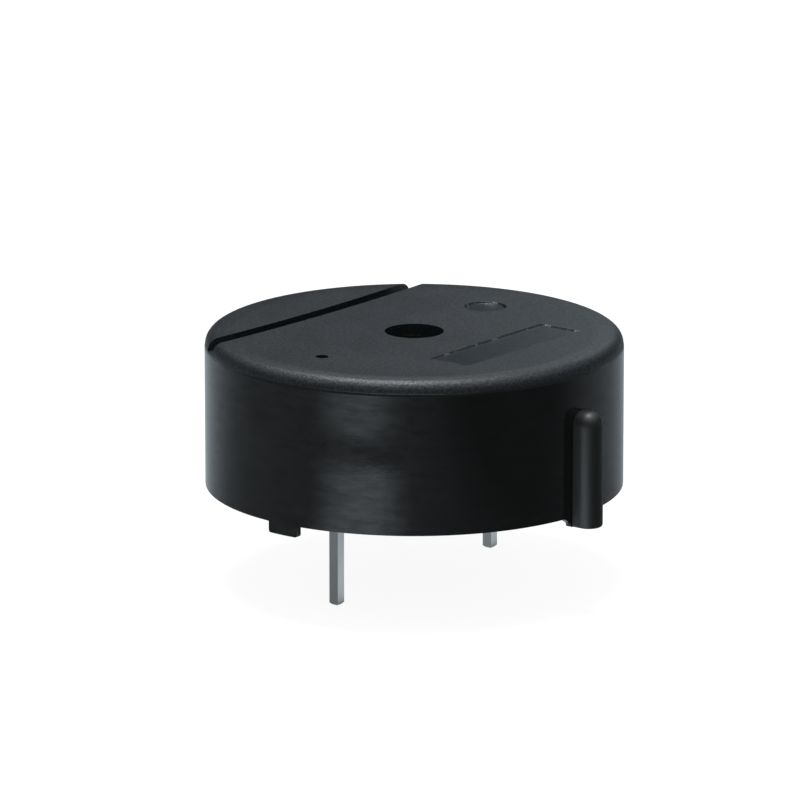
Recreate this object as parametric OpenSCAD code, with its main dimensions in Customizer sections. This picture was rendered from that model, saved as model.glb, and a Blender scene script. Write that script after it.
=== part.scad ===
// Pin-type piezo buzzer, 24 mm across, with two terminal pins 15 mm apart.
// A moulded case with a sound hole in its roof is closed from below by a base plate.
// The piezo element is glued under a ledge in the case and wired to the pins.
// Units are millimetres. The origin is the middle of the seating plane, on the tips of the feet.
// +Z points to the sound hole, +X runs along the line of the pins and +Y towards the groove.

/* [Case] */
// Diameter of the case wall
case_d = 24; // [20:0.5:30]
// Thickness of the wall round the rear chamber
wall_t = 1.5; // [1.1:0.05:2]
// Thickness of the roof
roof_t = 1.3; // [1:0.05:2]
// Radius of the rounded top edge
edge_r = 0.67; // [0.3:0.01:0.9]
// Step of the wall at the mould's parting line
parting_step = 0.03; // [0.01:0.01:0.08]
// Height of the sloped edge of this step
parting_slope_h = 0.12; // [0.04:0.01:0.3]
// Diameter of the sound hole
sound_hole_d = 3.4; // [1.5:0.1:6]
// Thickness of the thin skirt round the base plate
skirt_t = 0.7; // [0.5:0.05:1]
// Radius of the corner between the roof and the front chamber's wall
roof_corner_r = 0.4; // [0.1:0.05:1]
// Angle that the case sits at on its base, from the line of the pins
case_turn = -2.3; // [-10:0.1:10]

/* [Groove in the top] */
// Width of the groove
groove_w = 0.95; // [0.4:0.05:1.4]
// Depth of the groove
groove_depth = 0.65; // [0.2:0.05:0.8]
// Distance of the groove's middle line from the centre
groove_offset = 6.95; // [5:0.05:9]
// Radius of the groove's slight bow
groove_bow_r = 125; // [60:1:400]
// Angle between the groove and the line of the round mark and the dimple
groove_turn = -0.7; // [-10:0.1:10]

/* [Marks in the top] */
// Length of the bare recessed panel
panel_l = 10.4; // [4:0.1:12]
// Width of the panel
panel_w = 2.8; // [1:0.1:3.4]
// Depth of the panel
panel_depth = 0.09; // [0.05:0.01:0.3]
// Middle of the panel along X
panel_x = 0.75; // [-1:0.05:1]
// Middle of the panel along Y
panel_y = -5.98; // [-6.5:0.01:-5]
// Diameter of the shallow round mark at its rim
mark_d = 2.45; // [1:0.05:3]
// Depth of the round mark
mark_depth = 0.12; // [0.05:0.01:0.3]
// Width of the sloped edges of the panel and the round mark
mark_slope = 0.12; // [0.02:0.01:0.3]
// Distance of the round mark from the centre, towards +X
mark_x = 7.15; // [5:0.05:8.5]
// Diameter of the dimple
dimple_d = 0.75; // [0.4:0.05:1.5]
// Depth of the dimple
dimple_depth = 0.2; // [0.05:0.01:0.4]
// Distance of the dimple from the centre, towards -X
dimple_x = 7.9; // [5:0.05:9]
// Offset of the round mark and the dimple towards the groove
marks_y = 0.4; // [-1.5:0.05:1.5]

/* [Feet and post] */
// Height of the feet below the case's rim
foot_h = 0.65; // [0.3:0.05:1]
// Width of a foot
foot_w = 2.05; // [1:0.05:4]
// Thickness of a foot
foot_t = 0.35; // [0.2:0.05:0.7]
// Radius of the lower corners of the feet and the post
foot_corner_r = 0.15; // [0.05:0.01:0.25]
// Diameter of the half-round post on the side wall
post_d = 1.6; // [1:0.1:2.4]
// Distance of the post's axis outside the case wall
post_out = 0.56; // [0:0.01:0.6]
// Height of the post's lower end above the seating plane
post_lift = 0.08; // [0:0.01:0.3]
// Height of the post from its lower end to the top of its dome
post_h = 6.72; // [4:0.01:8]
// Width of the foot behind the post
post_foot_w = 1.8; // [1.6:0.05:3]
// Width of the slopes that join this foot to the rim
slope_w = 0.5; // [0.1:0.05:0.8]
// Height of these slopes
slope_h = 0.35; // [0.1:0.05:0.5]
// Diameter of the half-round keys inside the skirt
key_d = 0.9; // [0.5:0.05:1.2]

/* [Piezo element] */
// Thickness of the metal plate
plate_t = 0.2; // [0.1:0.01:0.3]
// Width of bare metal between the ceramic disc and the adhesive
bare_metal_w = 2.3; // [1.6:0.1:3]
// Thickness of the ceramic disc
ceramic_t = 0.2; // [0.1:0.01:0.3]
// Bare rim of the ceramic round the silver electrode
electrode_margin = 0.4; // [0.1:0.05:1]
// Thickness of the silver electrode
electrode_t = 0.03; // [0.02:0.01:0.05]
// Height of the front chamber between the roof and the plate
front_chamber_h = 2.3; // [1.5:0.1:3]
// Height of the rear chamber between the plate and the base plate
rear_chamber_h = 3.3; // [2.6:0.1:5]
// Width of the ledge that the plate's rim is glued under
ledge_w = 0.8; // [0.4:0.05:1.2]
// Gap between the plate's edge and the case, filled with adhesive
glue_gap = 0.5; // [0.2:0.05:0.6]
// Width of the adhesive bead on the plate's rim
glue_lap = 0.7; // [0.3:0.05:1]
// Thickness of the adhesive bead on the plate's rim
glue_t = 0.35; // [0.2:0.05:0.6]

/* [Base plate] */
// Thickness of the base plate
base_t = 1.3; // [0.8:0.05:1.6]
// Depth of the base plate's underside inside the rim
base_recess = 0.45; // [0.1:0.05:0.6]
// Clearance between the base plate and the skirt
base_gap = 0.05; // [0.02:0.01:0.15]
// Clearance round each key in the base plate's notches
key_gap = 0.1; // [0.05:0.01:0.2]
// Diameter of the boss round each pin
boss_d = 2.4; // [1.8:0.1:3]
// Height of the bosses above the base plate
boss_h = 0.7; // [0.3:0.05:1]

/* [Pins] */
// Distance between the two pins
pin_pitch = 15; // [12:0.1:16]
// Width of the square pins
pin_w = 0.6; // [0.4:0.05:0.8]
// Length of the pins below the seating plane
pin_length = 5; // [3:0.1:8]
// Chamfer at the pin tips
pin_chamfer = 0.12; // [0.02:0.01:0.2]
// Height of the pins above their bosses
pin_head_h = 0.5; // [0.3:0.05:0.8]
// Width of the square collar that stops each pin
collar_w = 1.1; // [0.9:0.05:1.5]
// Thickness of the collar
collar_t = 0.4; // [0.2:0.05:0.6]

/* [Leads and solder] */
// Diameter of the lead wires
lead_d = 0.25; // [0.1:0.05:0.3]
// Distance of the lead's joint inside the electrode's edge
joint_inset = 2.2; // [0.8:0.1:3]
// Bow of the lead to the plate
plate_lead_bow = 0.5; // [0.3:0.05:0.6]
// Bow of the lead to the electrode
electrode_lead_bow = 0.7; // [0.4:0.05:1]
// Radius of the solder on the pin heads
pin_solder_r = 0.62; // [0.55:0.01:0.75]
// Radius of the solder domes on the element, across their flat side
dome_r = 0.6; // [0.5:0.01:0.7]
// Height of the solder domes
dome_h = 0.4; // [0.3:0.01:0.5]

/* [Hidden] */
$fn = 96;

// Reach of a cut past the face that it opens
over = 1;

// Radii of the case, of the spaces in it and of the element
case_r = case_d / 2;
cap_r = case_r - parting_step;
skirt_r = case_r - skirt_t;
chamber_r = case_r - wall_t;
plate_r = chamber_r - glue_gap;
front_r = plate_r - ledge_w;
bead_r = plate_r - glue_lap;
ceramic_r = bead_r - bare_metal_w;
electrode_r = ceramic_r - electrode_margin;

// Levels above the seating plane, from the base plate's underside to the top face
base_z = foot_h + base_recess;
shoulder_z = base_z + base_t;
plate_z = shoulder_z + rear_chamber_h;
ledge_z = plate_z + plate_t;
roof_z = ledge_z + front_chamber_h;
case_h = roof_z + roof_t;
parting_z = case_h - edge_r;

// Levels of the ceramic's and the electrode's undersides, and of the pins' bosses and heads
ceramic_z = plate_z - ceramic_t;
electrode_z = ceramic_z - electrode_t;
boss_z = shoulder_z + boss_h;
pin_top_z = boss_z + pin_head_h;

// Directions of the plain feet, and of the post with a shorter foot behind it; each has a key inside
plain_foot_angles = [0, 90, 180];
post_angle = 270;
key_angles = concat(plain_foot_angles, [post_angle]);

// Places of the pins, and where the leads end in the solder
left_x = -pin_pitch / 2;
right_x = pin_pitch / 2;
lead_start_z = pin_top_z + pin_solder_r / 2;
plate_joint_x = -(bead_r + ceramic_r) / 2;
electrode_joint_x = electrode_r - joint_inset;
plate_joint = [plate_joint_x, plate_z - dome_h / 2];
electrode_joint = [electrode_joint_x, electrode_z - dome_h / 2];

case_colour = [0.1, 0.1, 0.11];
base_colour = [0.14, 0.14, 0.15];
brass_colour = [0.79, 0.65, 0.36];
ceramic_colour = [0.88, 0.86, 0.8];
silver_colour = [0.8, 0.8, 0.78];
glue_colour = [0.85, 0.85, 0.85];
tin_colour = [0.62, 0.63, 0.65];
copper_colour = [0.72, 0.5, 0.36];

// Half of the case's outline: the wall with its sloped top edge, and the cap with its round edge
module outer_outline() {
    polygon([[0, foot_h], [case_r, foot_h], [case_r, parting_z - parting_slope_h], [cap_r, parting_z], [0, parting_z]]);
    translate([0, foot_h]) square([cap_r - edge_r, case_h - foot_h]);
    translate([cap_r - edge_r, parting_z]) circle(r = edge_r);
}

// Half of the hollow: the skirt, the rear chamber, the ledge and the front chamber
module hollow_outline() {
    square([skirt_r, shoulder_z]);
    square([chamber_r, ledge_z]);
    square([front_r, roof_z - roof_corner_r]);
    square([front_r - roof_corner_r, roof_z]);
    translate([front_r - roof_corner_r, roof_z - roof_corner_r]) circle(r = roof_corner_r);
}

module case_shell() {
    rotate_extrude() difference() {
        intersection() {
            outer_outline();
            square([case_d, case_h]);
        }
        hollow_outline();
    }
}

// Flat outline on its lower edge's middle, with rounded lower corners and an open top
module rounded_foot_outline(width, height) {
    half = width / 2;
    translate([-half, foot_corner_r]) square([width, height - foot_corner_r]);
    translate([foot_corner_r - half, 0]) square([width - 2 * foot_corner_r, height]);
    for (side = [-1, 1]) translate([side * (half - foot_corner_r), foot_corner_r]) circle(r = foot_corner_r);
}

// Outer layer of the skirt wall, carried down to the seating plane where this outline is
module rim_piece() {
    intersection() {
        difference() {
            cylinder(r = case_r, h = base_z);
            translate([0, 0, -over]) cylinder(r = case_r - foot_t, h = base_z + 2 * over);
        }
        rotate([90, 0, 90]) linear_extrude(case_r + over) children();
    }
}

module foot() {
    rim_piece() rounded_foot_outline(foot_w, base_z);
}

// The foot behind the post ends level with it, with slopes from the rim to its sides
module post_foot() {
    half = post_foot_w / 2;
    translate([0, 0, post_lift]) rim_piece() rounded_foot_outline(post_foot_w, base_z - post_lift);
    rim_piece() polygon([[-half - slope_w, base_z], [-half - slope_w, foot_h], [-half, foot_h - slope_h],
                         [half, foot_h - slope_h], [half + slope_w, foot_h], [half + slope_w, base_z]]);
}

// Half-round key inside the skirt, which a notch of the base plate fits round
module key(radius, low, high) {
    translate([skirt_r, 0, low]) cylinder(r = radius, h = high - low);
}

// Outline of the post seen from the side it stands on: straight sides and a round top
module post_outline() {
    rounded_foot_outline(post_d, post_h - post_d / 2);
    translate([0, post_h - post_d / 2]) circle(d = post_d);
}

// The post's round outer half, and the web that joins it to the wall
module post() {
    translate([case_r + post_out, 0, post_lift]) {
        rotate_extrude() intersection() {
            post_outline();
            square([post_d, post_h]);
        }
        rotate([90, 0, -90]) linear_extrude(post_out + foot_t) post_outline();
    }
}

// The groove is a slice of a wide ring, so that it bows a little towards the centre
module groove() {
    rotate(groove_turn) intersection() {
        translate([0, groove_offset + groove_bow_r, case_h - groove_depth]) difference() {
            cylinder(r = groove_bow_r + groove_w / 2, h = groove_depth + over, $fn = 720);
            translate([0, 0, -over])
                cylinder(r = groove_bow_r - groove_w / 2, h = groove_depth + 3 * over, $fn = 720);
        }
        translate([-case_d, 0, 0]) cube([2 * case_d, case_d, case_h + over]);
    }
}

// Profile of a recess of this width at the top face, with sloped sides
module recess_profile(width) {
    half = width / 2;
    polygon([[-half, over], [-half, 0], [mark_slope - half, -panel_depth],
             [half - mark_slope, -panel_depth], [half, 0], [half, over]]);
}

module panel() {
    translate([panel_x, panel_y, case_h]) intersection() {
        rotate([90, 0, 0]) linear_extrude(panel_w, center = true) recess_profile(panel_l);
        rotate([90, 0, 90]) linear_extrude(panel_l, center = true) recess_profile(panel_w);
    }
}

module round_mark() {
    translate([mark_x, marks_y, case_h]) rotate_extrude()
        polygon([[0, -mark_depth], [mark_d / 2 - mark_slope, -mark_depth], [mark_d / 2, 0], [mark_d / 2, over], [0, over]]);
}

module dimple() {
    translate([-dimple_x, marks_y, case_h - dimple_depth]) cylinder(d = dimple_d, h = dimple_depth + over);
}

module case() {
    color(case_colour) rotate(case_turn) difference() {
        union() {
            case_shell();
            for (angle = plain_foot_angles) rotate(angle) foot();
            for (angle = key_angles) rotate(angle) key(key_d / 2, foot_h, shoulder_z);
            rotate(post_angle) {
                post();
                post_foot();
            }
        }
        translate([0, 0, roof_z - over]) cylinder(d = sound_hole_d, h = roof_t + 2 * over);
        groove();
        panel();
        round_mark();
        dimple();
    }
}

// Square bar along Z with chamfered lower end
module square_bar(low, high) {
    half = pin_w / 2;
    side_view = [[-half, high], [-half, low + pin_chamfer], [pin_chamfer - half, low],
                 [half - pin_chamfer, low], [half, low + pin_chamfer], [half, high]];
    intersection() {
        rotate([90, 0, 0]) linear_extrude(pin_w, center = true) polygon(side_view);
        rotate([90, 0, 90]) linear_extrude(pin_w, center = true) polygon(side_view);
    }
}

module pin(x) {
    color(tin_colour) translate([x, 0, 0]) {
        square_bar(-pin_length, pin_top_z);
        translate([-collar_w / 2, -collar_w / 2, boss_z - collar_t]) cube([collar_w, collar_w, collar_t]);
    }
}

// The base plate has a notch for each key, and a boss with a square hole for each pin
module base_plate() {
    color(base_colour) difference() {
        union() {
            translate([0, 0, base_z]) cylinder(r = skirt_r - base_gap, h = base_t);
            for (x = [left_x, right_x]) translate([x, 0, base_z]) cylinder(d = boss_d, h = base_t + boss_h);
        }
        for (angle = key_angles) rotate(case_turn + angle)
            key(key_d / 2 + key_gap, base_z - over, shoulder_z + over);
        for (x = [left_x, right_x]) pin(x);
    }
}

module metal_plate() {
    color(brass_colour) translate([0, 0, plate_z]) cylinder(r = plate_r, h = plate_t);
}

module ceramic_disc() {
    color(ceramic_colour) translate([0, 0, ceramic_z]) cylinder(r = ceramic_r, h = ceramic_t);
}

module silver_electrode() {
    color(silver_colour) translate([0, 0, electrode_z]) cylinder(r = electrode_r, h = electrode_t);
}

// The bead fills the gap round the plate and laps over its rim
module adhesive_ring() {
    bead = [[bead_r, plate_z - glue_t], [chamber_r, plate_z - glue_t], [chamber_r, ledge_z],
            [plate_r, ledge_z], [plate_r, plate_z], [bead_r, plate_z]];
    color(glue_colour) rotate_extrude() polygon(bead);
}

// Wire bent to an arc in the XZ plane, from start to end, and bowed to the right of that way
module bent_wire(start, end, bow) {
    chord = norm(end - start);
    bend_r = (chord * chord / 4 + bow * bow) / (2 * bow);
    turn = 4 * atan(2 * bow / chord);
    way = atan2(end[1] - start[1], end[0] - start[0]);
    middle = (start + end) / 2;
    centre = middle + (bend_r - bow) * [-sin(way), cos(way)];
    translate([centre[0], 0, centre[1]]) rotate([90, 0, 0]) rotate(way - 90 - turn / 2)
        rotate_extrude(angle = turn) translate([bend_r, 0]) circle(d = lead_d);
}

module plate_lead() {
    color(copper_colour) bent_wire([left_x, lead_start_z], plate_joint, plate_lead_bow);
}

module electrode_lead() {
    color(copper_colour) bent_wire(electrode_joint, [right_x, lead_start_z], electrode_lead_bow);
}

// Ball of solder on a pin's head
module pin_solder(x) {
    translate([x, 0, pin_top_z]) intersection() {
        sphere(r = pin_solder_r);
        translate([-pin_solder_r, -pin_solder_r, -pin_head_h / 2])
            cube([2 * pin_solder_r, 2 * pin_solder_r, 2 * pin_solder_r]);
    }
}

module left_pin_solder() {
    color(tin_colour) difference() {
        pin_solder(left_x);
        pin(left_x);
        plate_lead();
    }
}

module right_pin_solder() {
    color(tin_colour) difference() {
        pin_solder(right_x);
        pin(right_x);
        electrode_lead();
    }
}

// Dome of solder that hangs under a flat face at this level
module solder_dome(x, level) {
    ball_r = (dome_r * dome_r + dome_h * dome_h) / (2 * dome_h);
    intersection() {
        translate([x, 0, level + ball_r - dome_h]) sphere(r = ball_r);
        translate([x - dome_r, -dome_r, level - dome_h]) cube([2 * dome_r, 2 * dome_r, dome_h]);
    }
}

module plate_solder() {
    color(tin_colour) difference() {
        solder_dome(plate_joint_x, plate_z);
        plate_lead();
    }
}

module electrode_solder() {
    color(tin_colour) difference() {
        solder_dome(electrode_joint_x, electrode_z);
        electrode_lead();
    }
}

case();
base_plate();
metal_plate();
ceramic_disc();
silver_electrode();
adhesive_ring();
pin(left_x);  // left_pin
pin(right_x);  // right_pin
plate_lead();
electrode_lead();
left_pin_solder();
right_pin_solder();
plate_solder();
electrode_solder();
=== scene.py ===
"""Looks of the pin-type piezo buzzer, set up as it stands in the photograph."""

import math

import bpy
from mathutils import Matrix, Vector


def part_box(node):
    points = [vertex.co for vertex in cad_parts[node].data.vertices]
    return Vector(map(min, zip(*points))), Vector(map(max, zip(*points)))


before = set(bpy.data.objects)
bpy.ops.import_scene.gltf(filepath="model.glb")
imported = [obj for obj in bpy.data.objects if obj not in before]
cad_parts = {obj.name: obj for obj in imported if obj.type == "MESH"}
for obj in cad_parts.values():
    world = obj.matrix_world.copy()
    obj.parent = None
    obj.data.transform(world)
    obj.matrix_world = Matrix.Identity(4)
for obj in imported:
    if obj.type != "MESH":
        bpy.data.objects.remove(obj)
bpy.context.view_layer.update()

MM = 0.001

# Camera: where it stands and how it frames the object, solved from the case's outline
CAMERA_AZIMUTH = math.radians(306.0)
CAMERA_ELEVATION = math.radians(14.64)
CAMERA_DISTANCE = 465 * MM
CAMERA_TARGET = Vector((0, 0, 4.65 * MM))
IMAGE_SIZE = 800
SENSOR_WIDTH = 36.0
PIXELS_PER_MM = 17.447
TARGET_PIXEL = (414.3, 413.0)

# Levels, depths and radii of the case that its finish depends on
CASE_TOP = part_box("case")[1].z
CASE_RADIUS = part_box("case")[1].x
EDGE_HEIGHT = 0.67 * MM
PARTING_LEVEL = CASE_TOP - EDGE_HEIGHT
PARTING_SLOPE = 0.12 * MM
PANEL_DEPTH = 0.09 * MM
EDGE_ROLL = 1.65 * MM

# The floor is just under the pin tips
PIN_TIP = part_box("left_pin")[0].z
FLOOR_GAP = 0.05 * MM
FLOOR_LEVEL = PIN_TIP - FLOOR_GAP

# Light: on the object, and in what only reflections and the camera see
WHITE = (1, 1, 1, 1)
WORLD_LIGHT = 0.8
BACKGROUND_WHITE = 1.0
FLOOR_COLOR = (0.12, 0.12, 0.12, 1)
FLOOR_GLOW = 0.92
CARD_COLOR = (0.82, 0.93, 1, 1)
LAMP_COLOR = (0.88, 0.95, 1)

# The camera's own directions on the floor
RIGHT = Vector((math.cos(CAMERA_AZIMUTH), math.sin(CAMERA_AZIMUTH), 0))
AWAY = Vector((-math.sin(CAMERA_AZIMUTH), math.cos(CAMERA_AZIMUTH), 0))


def towards(azimuth, elevation):
    """Unit vector from the object towards a viewer at this azimuth and elevation."""
    level = math.cos(elevation)
    return Vector((math.sin(azimuth) * level, -math.cos(azimuth) * level, math.sin(elevation)))


def make_camera():
    data = bpy.data.cameras.new("camera")
    camera = bpy.data.objects.new("camera", data)
    bpy.context.collection.objects.link(camera)
    back = towards(CAMERA_AZIMUTH, CAMERA_ELEVATION)
    camera.location = CAMERA_TARGET + back * CAMERA_DISTANCE
    camera.rotation_euler = (-back).to_track_quat("-Z", "Y").to_euler()
    focal_pixels = PIXELS_PER_MM * CAMERA_DISTANCE / MM
    data.sensor_width = SENSOR_WIDTH
    data.lens = focal_pixels * SENSOR_WIDTH / IMAGE_SIZE
    data.shift_x = (IMAGE_SIZE / 2 - TARGET_PIXEL[0]) / IMAGE_SIZE
    data.shift_y = (TARGET_PIXEL[1] - IMAGE_SIZE / 2) / IMAGE_SIZE
    data.clip_start = 0.02
    data.clip_end = 20
    bpy.context.scene.camera = camera


class Nodes:
    """Short calls for building a node tree."""

    def __init__(self, tree):
        self.tree = tree
        tree.nodes.clear()

    def add(self, kind, **settings):
        made = self.tree.nodes.new(kind)
        for name, value in settings.items():
            setattr(made, name, value)
        return made

    def link(self, source, target):
        self.tree.links.new(source, target)

    def math(self, operation, first, second=None):
        made = self.add("ShaderNodeMath", operation=operation)
        for socket, value in zip(made.inputs, (first, second)):
            if value is None:
                continue
            if isinstance(value, (int, float)):
                socket.default_value = value
            else:
                self.link(value, socket)
        return made.outputs[0]

    def ramp(self, value, low, high, out_low=0.0, out_high=1.0):
        made = self.add("ShaderNodeMapRange", interpolation_type="SMOOTHSTEP")
        self.link(value, made.inputs["Value"])
        made.inputs["From Min"].default_value = low
        made.inputs["From Max"].default_value = high
        made.inputs["To Min"].default_value = out_low
        made.inputs["To Max"].default_value = out_high
        return made.outputs["Result"]

    def noise(self, vector, scale, detail=2.0, roughness=0.5):
        made = self.add("ShaderNodeTexNoise")
        self.link(vector, made.inputs["Vector"])
        made.inputs["Scale"].default_value = scale
        made.inputs["Detail"].default_value = detail
        made.inputs["Roughness"].default_value = roughness
        return made.outputs["Fac"]

    def blend(self, factor, first, second):
        made = self.add("ShaderNodeMix", data_type="FLOAT")
        self.link(factor, made.inputs["Factor"])
        for socket, value in zip(made.inputs[2:4], (first, second)):
            if isinstance(value, float):
                socket.default_value = value
            else:
                self.link(value, socket)
        return made.outputs[0]

    def stretch(self, vector, factors):
        made = self.add("ShaderNodeVectorMath", operation="MULTIPLY")
        self.link(vector, made.inputs[0])
        made.inputs[1].default_value = factors
        return made.outputs[0]

    def mix_color(self, factor, first, second):
        made = self.add("ShaderNodeMix", data_type="RGBA")
        self.link(factor, made.inputs["Factor"])
        for socket, value in zip(made.inputs[6:8], (first, second)):
            if isinstance(value, tuple):
                socket.default_value = (*value, 1)
            else:
                self.link(value, socket)
        return made.outputs[2]

    def bump(self, height, distance, strength, normal=None):
        made = self.add("ShaderNodeBump")
        self.link(height, made.inputs["Height"])
        made.inputs["Distance"].default_value = distance
        made.inputs["Strength"].default_value = strength
        if normal is not None:
            self.link(normal, made.inputs["Normal"])
        return made.outputs["Normal"]


def new_material(name):
    material = bpy.data.materials.new(name)
    material.use_nodes = True
    nodes = Nodes(material.node_tree)
    output = nodes.add("ShaderNodeOutputMaterial")
    shader = nodes.add("ShaderNodeBsdfPrincipled")
    nodes.link(shader.outputs["BSDF"], output.inputs["Surface"])
    coordinates = nodes.add("ShaderNodeTexCoord").outputs["Object"]
    return material, nodes, shader, coordinates


def case_plastic():
    """Black moulded plastic: a grained cap above the parting line, a glossy wall and a satin post."""
    material, nodes, shader, place = new_material("case_plastic")
    parts = nodes.add("ShaderNodeSeparateXYZ")
    nodes.link(place, parts.inputs[0])
    level = parts.outputs["Z"]
    across = nodes.math("POWER", parts.outputs["X"], 2.0)
    along = nodes.math("POWER", parts.outputs["Y"], 2.0)
    radius = nodes.math("SQRT", nodes.math("ADD", across, along))

    # Where each zone is: the cap, the slope below the parting line, the post and the top's recesses
    cap = nodes.ramp(level, PARTING_LEVEL - 0.01 * MM, PARTING_LEVEL + 0.02 * MM)
    slope_foot = PARTING_LEVEL - PARTING_SLOPE
    parting = nodes.ramp(level, slope_foot - 0.02 * MM, slope_foot + 0.01 * MM)
    post = nodes.ramp(radius, CASE_RADIUS + 0.02 * MM, CASE_RADIUS + 0.06 * MM)
    inner = nodes.ramp(radius, CASE_RADIUS - 2 * MM, CASE_RADIUS - 1.6 * MM, 1.0, 0.0)
    below = nodes.ramp(level, CASE_TOP - 0.02 * MM, CASE_TOP - 0.01 * MM, 1.0, 0.0)
    recess = nodes.math("MULTIPLY", inner, below)
    panel_floor = CASE_TOP - PANEL_DEPTH
    floor = nodes.ramp(level, panel_floor + 0.001 * MM, panel_floor + 0.004 * MM, 1.0, 0.0)
    edge = nodes.math("MULTIPLY", recess, nodes.math("SUBTRACT", 1.0, floor))

    # Patterns: a slow drift, flow marks along the wall, the cap's grain, and glints at the recesses
    cloud = nodes.noise(place, 260.0, 3.0, 0.55)
    streak = nodes.noise(nodes.stretch(place, (1, 1, 4)), 650.0, 5.0, 0.65)
    grain = nodes.noise(place, 7500.0, 3.0, 0.65)
    glint = nodes.ramp(nodes.noise(place, 1800.0, 2.0), 0.55, 0.62)

    wall_colour = nodes.mix_color(cloud, (0.0068, 0.0070, 0.0070), (0.0086, 0.0088, 0.0089))
    cap_colour = nodes.mix_color(cloud, (0.0056, 0.0080, 0.0102), (0.0072, 0.0102, 0.0130))
    nodes.link(nodes.mix_color(cap, wall_colour, cap_colour), shader.inputs["Base Color"])

    rough = nodes.blend(parting, nodes.ramp(cloud, 0.3, 0.7, 0.05, 0.08), 0.3)
    rough = nodes.blend(cap, rough, nodes.ramp(cloud, 0.3, 0.7, 0.45, 0.50))
    rough = nodes.blend(recess, rough, 0.285)
    rough = nodes.blend(nodes.math("MULTIPLY", edge, glint), rough, 0.14)
    rough = nodes.blend(post, rough, nodes.ramp(cloud, 0.3, 0.7, 0.45, 0.49))
    nodes.link(rough, shader.inputs["Roughness"])

    wall_gloss = nodes.ramp(streak, 0.3, 0.7, 0.38, 0.62)
    cap_gloss = nodes.ramp(grain, 0.35, 0.65, 0.28, 0.68)
    gloss = nodes.blend(post, nodes.blend(cap, wall_gloss, cap_gloss), 0.56)
    gloss = nodes.blend(edge, gloss, nodes.ramp(glint, 0.0, 1.0, 0.1, 1.0))
    nodes.link(gloss, shader.inputs["Specular IOR Level"])

    # Relief: grain on the cap, waves on the wall, and a soft roll from the top to its edge
    height = nodes.math("MULTIPLY", grain, nodes.ramp(cap, 0.0, 1.0, 0.05, 1.0))
    grained = nodes.bump(height, 0.026 * MM, 0.8)
    calm = nodes.math("MAXIMUM", cap, post)
    waves = nodes.math("MULTIPLY", streak, nodes.ramp(calm, 0.0, 1.0, 1.0, 0.0))
    waved = nodes.bump(waves, 0.0015 * MM, 1.0, grained)
    fall = nodes.ramp(radius, CASE_RADIUS - EDGE_ROLL, CASE_RADIUS - 0.05 * MM, 1.0, 0.0)
    nodes.link(nodes.bump(fall, 0.25 * MM, 1.0, waved), shader.inputs["Normal"])
    return material


def plain_material(name, color, roughness, metallic=0.0, specular=0.5):
    """A material with a slight drift of colour and roughness, and a fine bump."""
    material, nodes, shader, place = new_material(name)
    drift = nodes.noise(place, 400.0, 3.0)
    fine = nodes.noise(place, 2500.0, 3.0)
    darker = tuple(channel * 0.86 for channel in color)
    nodes.link(nodes.mix_color(drift, darker, color), shader.inputs["Base Color"])
    spread = nodes.ramp(drift, 0.3, 0.7, roughness - 0.05, roughness + 0.05)
    nodes.link(spread, shader.inputs["Roughness"])
    nodes.link(nodes.bump(fine, 0.01 * MM, 0.4), shader.inputs["Normal"])
    shader.inputs["Metallic"].default_value = metallic
    shader.inputs["Specular IOR Level"].default_value = specular
    return material


def dress():
    """Gives each CAD piece its material."""
    tin = plain_material("tinned_metal", (0.64, 0.63, 0.61), 0.38, 1.0)
    solder = plain_material("solder", (0.66, 0.67, 0.68), 0.25, 1.0)
    copper = plain_material("copper", (0.80, 0.45, 0.30), 0.3, 1.0)
    finish = {
        "case": case_plastic(),
        "base_plate": plain_material("base_plastic", (0.012, 0.012, 0.013), 0.45, specular=0.35),
        "metal_plate": plain_material("brass", (0.78, 0.58, 0.30), 0.35, 1.0),
        "ceramic_disc": plain_material("ceramic", (0.80, 0.77, 0.68), 0.6),
        "silver_electrode": plain_material("silver", (0.82, 0.81, 0.78), 0.45, 1.0),
        "adhesive_ring": plain_material("adhesive", (0.75, 0.75, 0.72), 0.4),
        "left_pin": tin,
        "right_pin": tin,
        "plate_lead": copper,
        "electrode_lead": copper,
        "left_pin_solder": solder,
        "right_pin_solder": solder,
        "plate_solder": solder,
        "electrode_solder": solder,
    }
    for name, material in finish.items():
        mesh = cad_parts[name].data
        mesh.materials.clear()
        mesh.materials.append(material)


def background_factor(nodes):
    """1 for rays that see the background as such: from the camera, off a gloss or through glass."""
    path = nodes.add("ShaderNodeLightPath")
    seen = nodes.math("MAXIMUM", path.outputs["Is Camera Ray"], path.outputs["Is Glossy Ray"])
    return nodes.math("MAXIMUM", seen, path.outputs["Is Transmission Ray"])


def make_world():
    world = bpy.data.worlds.new("world")
    bpy.context.scene.world = world
    world.use_nodes = True
    nodes = Nodes(world.node_tree)
    output = nodes.add("ShaderNodeOutputWorld")
    plain = nodes.add("ShaderNodeBackground")
    plain.inputs["Color"].default_value = WHITE
    plain.inputs["Strength"].default_value = WORLD_LIGHT
    white = nodes.add("ShaderNodeBackground")
    white.inputs["Color"].default_value = WHITE
    white.inputs["Strength"].default_value = BACKGROUND_WHITE
    mix = nodes.add("ShaderNodeMixShader")
    nodes.link(background_factor(nodes), mix.inputs[0])
    nodes.link(plain.outputs[0], mix.inputs[1])
    nodes.link(white.outputs[0], mix.inputs[2])
    nodes.link(mix.outputs[0], output.inputs["Surface"])


def flat_sheet(name, centre, width, depth, turn=0.0):
    """Level rectangle at a centre, turned about the vertical."""
    mesh = bpy.data.meshes.new(name)
    x = width / 2
    y = depth / 2
    corners = [(-x, -y, 0), (x, -y, 0), (x, y, 0), (-x, y, 0)]
    mesh.from_pydata(corners, [], [(0, 1, 2, 3)])
    sheet = bpy.data.objects.new(name, mesh)
    sheet.location = centre
    sheet.rotation_euler = (0, 0, turn)
    bpy.context.collection.objects.link(sheet)
    return sheet


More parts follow.
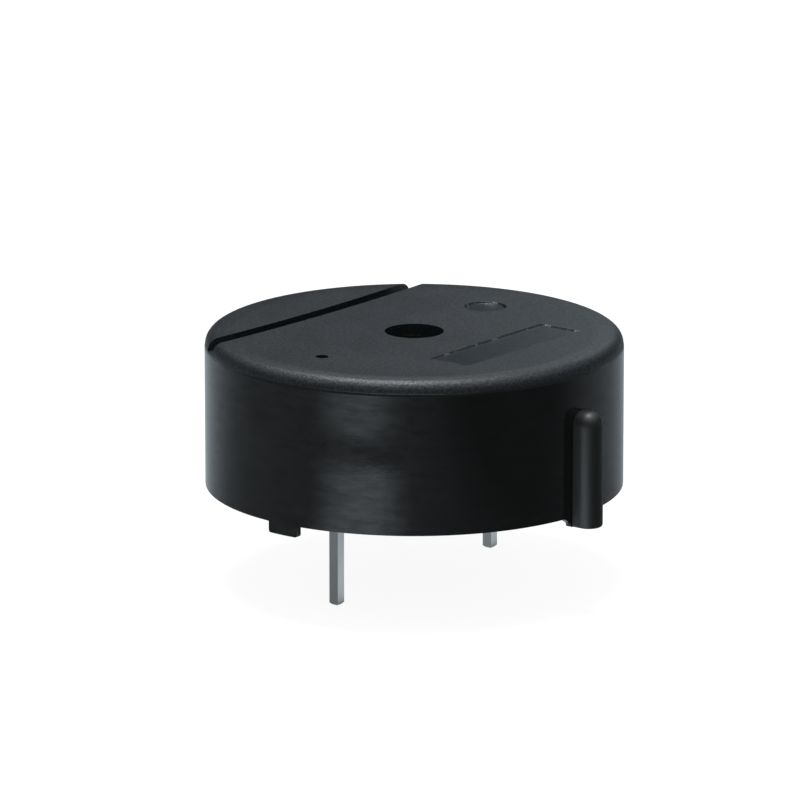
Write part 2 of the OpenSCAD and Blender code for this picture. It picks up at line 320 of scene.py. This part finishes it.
def make_floor():
    """Pale floor just under the pin tips. It stays white where no shadow falls."""
    floor = flat_sheet("floor", (0, 0, FLOOR_LEVEL), 1.2, 1.2)
    material = bpy.data.materials.new("floor")
    material.use_nodes = True
    nodes = Nodes(material.node_tree)
    output = nodes.add("ShaderNodeOutputMaterial")
    diffuse = nodes.add("ShaderNodeBsdfDiffuse")
    diffuse.inputs["Color"].default_value = FLOOR_COLOR
    glow = nodes.add("ShaderNodeEmission")
    glow.inputs["Color"].default_value = WHITE
    strength = nodes.math("MULTIPLY", background_factor(nodes), FLOOR_GLOW)
    nodes.link(strength, glow.inputs["Strength"])
    both = nodes.add("ShaderNodeAddShader")
    nodes.link(diffuse.outputs[0], both.inputs[0])
    nodes.link(glow.outputs[0], both.inputs[1])
    nodes.link(both.outputs[0], output.inputs["Surface"])
    floor.data.materials.append(material)


def seen_in_gloss_only(card):
    """Leaves a card visible to reflections alone."""
    card.visible_camera = False
    card.visible_diffuse = False
    card.visible_shadow = False
    card.visible_transmission = False


def card_material(name, strength, cover):
    """Glow of this strength, clear where cover falls to 0. Cover comes from the card's coordinates."""
    material = bpy.data.materials.new(name)
    material.use_nodes = True
    nodes = Nodes(material.node_tree)
    output = nodes.add("ShaderNodeOutputMaterial")
    parts = nodes.add("ShaderNodeSeparateXYZ")
    nodes.link(nodes.add("ShaderNodeTexCoord").outputs["Object"], parts.inputs[0])
    glow = nodes.add("ShaderNodeEmission")
    glow.inputs["Color"].default_value = CARD_COLOR
    glow.inputs["Strength"].default_value = strength
    clear = nodes.add("ShaderNodeBsdfTransparent")
    mix = nodes.add("ShaderNodeMixShader")
    nodes.link(cover(nodes, parts.outputs), mix.inputs[0])
    nodes.link(clear.outputs[0], mix.inputs[1])
    nodes.link(glow.outputs[0], mix.inputs[2])
    nodes.link(mix.outputs[0], output.inputs["Surface"])
    return material


def studio_card(name, right, away, width, depth, lift, strength, fade, turn=CAMERA_AZIMUTH):
    """Level card that only reflections see, placed by the camera's right and away directions.

    Its lift is above the floor. It fades out towards its rim over the distance given.
    """
    centre = RIGHT * right + AWAY * away + Vector((0, 0, FLOOR_LEVEL + lift))
    card = flat_sheet(name, centre, width, depth, turn)
    seen_in_gloss_only(card)

    def cover(nodes, place):
        from_side = nodes.math("SUBTRACT", width / 2, nodes.math("ABSOLUTE", place["X"]))
        from_end = nodes.math("SUBTRACT", depth / 2, nodes.math("ABSOLUTE", place["Y"]))
        side_cover = nodes.ramp(from_side, 0.0, fade)
        end_cover = nodes.ramp(from_end, 0.0, fade)
        return nodes.math("MULTIPLY", side_cover, end_cover)

    card.data.materials.append(card_material(name, strength, cover))


def arc_card(name, near, far, edge, middle, core, reach, lift, strength):
    """Lit arc on the table round the object, between two radii and about its middle direction.

    The direction is in degrees to the right of the camera, and the arc fades out to both sides of it,
    from its core to its reach. Its inner and outer rims are twice the edge wide.
    """
    aim = (math.sin(math.radians(middle)), -math.cos(math.radians(middle)))
    size = 2 * (far + edge)
    card = flat_sheet(name, (0, 0, FLOOR_LEVEL + lift), size, size, CAMERA_AZIMUTH)
    seen_in_gloss_only(card)

    def cover(nodes, place):
        across = nodes.math("POWER", place["X"], 2.0)
        along = nodes.math("POWER", place["Y"], 2.0)
        radius = nodes.math("SQRT", nodes.math("ADD", across, along))
        inside = nodes.ramp(radius, near - edge, near + edge)
        outside = nodes.ramp(radius, far - edge, far + edge)
        band = nodes.math("SUBTRACT", inside, outside)
        forward = nodes.math("MULTIPLY", place["X"], aim[0])
        forward = nodes.math("ADD", forward, nodes.math("MULTIPLY", place["Y"], aim[1]))
        turn = nodes.math("ARCCOSINE", nodes.math("DIVIDE", forward, radius))
        sweep = nodes.ramp(turn, math.radians(core), math.radians(reach), 1.0, 0.0)
        return nodes.math("MULTIPLY", band, sweep)

    card.data.materials.append(card_material(name, strength, cover))


def make_surround():
    """Grey wall round the table, for reflections only. It fades out upwards into the white above it."""
    radius = 0.5
    height = 0.6
    full_height = 0.25
    strength = 0.05
    sides = 64
    ring = []
    for i in range(sides):
        angle = 2 * math.pi * i / sides
        ring.append((radius * math.cos(angle), radius * math.sin(angle)))
    corners = [(x, y, 0) for x, y in ring] + [(x, y, height) for x, y in ring]
    faces = [(i, (i + 1) % sides, sides + (i + 1) % sides, sides + i) for i in range(sides)]
    mesh = bpy.data.meshes.new("surround")
    mesh.from_pydata(corners, [], faces)
    surround = bpy.data.objects.new("surround", mesh)
    surround.location = (0, 0, FLOOR_LEVEL)
    bpy.context.collection.objects.link(surround)
    seen_in_gloss_only(surround)

    def cover(nodes, place):
        return nodes.ramp(place["Z"], full_height, height, 1.0, 0.0)

    mesh.materials.append(card_material("surround", strength, cover))


def make_cards():
    """What the black case mirrors: a grey table, darker in front on the right and lit on the left."""
    studio_card(
        "table_card", right=0, away=0, width=400 * MM, depth=400 * MM,
        lift=0.005 * MM, strength=0.25, fade=80 * MM,
    )
    studio_card(
        "dark_card", right=50 * MM, away=-45 * MM, width=110 * MM, depth=120 * MM,
        lift=0.01 * MM, strength=0.05, fade=35 * MM,
    )
    arc_card(
        "back_arc", near=5 * MM, far=180 * MM, edge=20 * MM, middle=-150, core=5, reach=65,
        lift=0.015 * MM, strength=0.56,
    )
    arc_card(
        "right_arc", near=5 * MM, far=180 * MM, edge=20 * MM, middle=165, core=5, reach=78,
        lift=0.0125 * MM, strength=0.43,
    )
    arc_card(
        "near_arc", near=27 * MM, far=47.4 * MM, edge=1.0 * MM, middle=-25, core=4, reach=27,
        lift=0.02 * MM, strength=1.3,
    )
    arc_card(
        "far_arc", near=54.2 * MM, far=68 * MM, edge=0.7 * MM, middle=-28, core=0, reach=27,
        lift=0.025 * MM, strength=1.1,
    )
    studio_card(
        "pin_card", right=8.3 * MM, away=-1.1 * MM, width=26 * MM, depth=13.6 * MM,
        lift=0.03 * MM, strength=0.78, fade=0.8 * MM, turn=0,
    )
    studio_card(
        "post_card", right=-2 * MM, away=-20 * MM, width=24 * MM, depth=12 * MM,
        lift=0.035 * MM, strength=4.6, fade=3 * MM,
    )
    studio_card(
        "top_card", right=28 * MM, away=75 * MM, width=50 * MM, depth=80 * MM,
        lift=45 * MM, strength=1.25, fade=15 * MM,
    )


def softbox(name, azimuth, elevation, distance, width, height, power):
    """Area lamp that faces the object, at this azimuth and elevation in degrees."""
    data = bpy.data.lights.new(name, "AREA")
    data.shape = "RECTANGLE"
    data.size = width
    data.size_y = height
    data.energy = power
    data.color = LAMP_COLOR
    lamp = bpy.data.objects.new(name, data)
    bpy.context.collection.objects.link(lamp)
    back = towards(math.radians(azimuth), math.radians(elevation))
    lamp.location = CAMERA_TARGET + back * distance
    lamp.rotation_euler = (-back).to_track_quat("-Z", "Y").to_euler()
    lamp.visible_camera = False


def make_lights():
    softbox("key_light", azimuth=176, elevation=82.5, distance=0.4, width=0.1, height=0.22, power=1.5)


make_camera()
make_world()
make_floor()
make_surround()
make_cards()
make_lights()
dress()
bpy.context.scene.view_settings.view_transform = "Standard"
